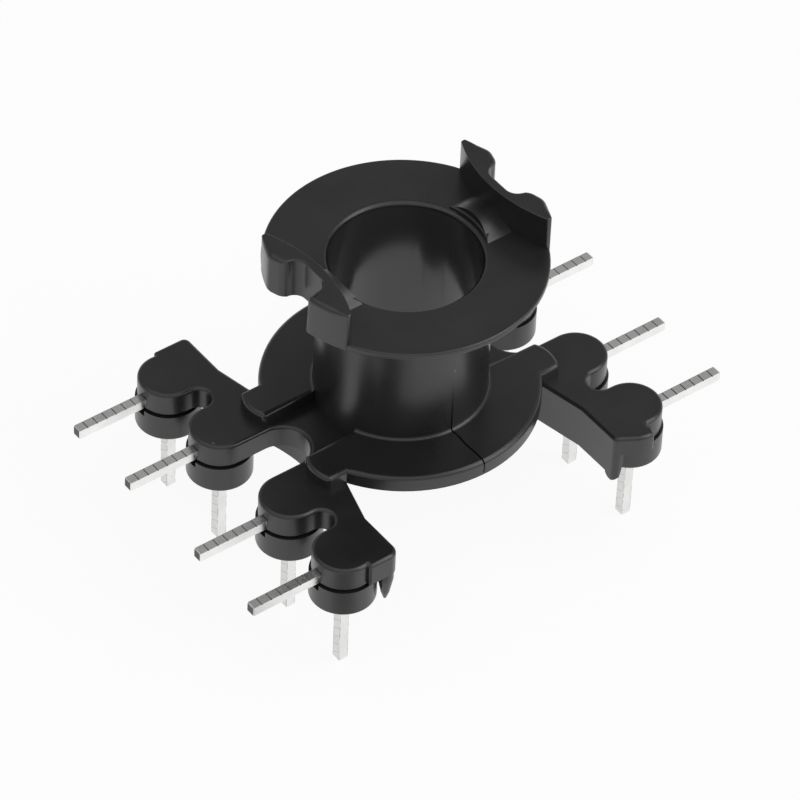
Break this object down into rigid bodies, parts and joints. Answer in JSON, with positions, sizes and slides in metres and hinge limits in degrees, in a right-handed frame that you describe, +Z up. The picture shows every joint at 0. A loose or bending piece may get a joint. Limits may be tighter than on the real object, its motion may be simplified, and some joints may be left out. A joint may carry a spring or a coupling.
{
  "type": "transformer bobbin",
  "caption": "Black moulded coil former with a round bore, a flanged winding tube and L-shaped tinned terminal pins on four wings, for a transformer with a round centre post.",
  "frame": {"origin": "on the bore axis, at the bore's lower mouth in the plane of the base flange's underside", "axes": "+Z up along the bore, +X and -X point at the two terminal rows, the wedge-marked corner is at +X, -Y"},
  "size_m": [0.0496, 0.0326, 0.0321],
  "materials": {
    "moulding": "satin black thermoset moulding",
    "tinned_pin": "bright tin plate with fine cross marks"
  },
  "bodies": {
    "root": {"bobbin_body": "moulding", "terminal_pin_1": "tinned_pin", "terminal_pin_2": "tinned_pin", "terminal_pin_3": "tinned_pin", "terminal_pin_4": "tinned_pin", "terminal_pin_5": "tinned_pin", "terminal_pin_6": "tinned_pin", "terminal_pin_7": "tinned_pin", "terminal_pin_8": "tinned_pin"}
  },
  "joints": []
}
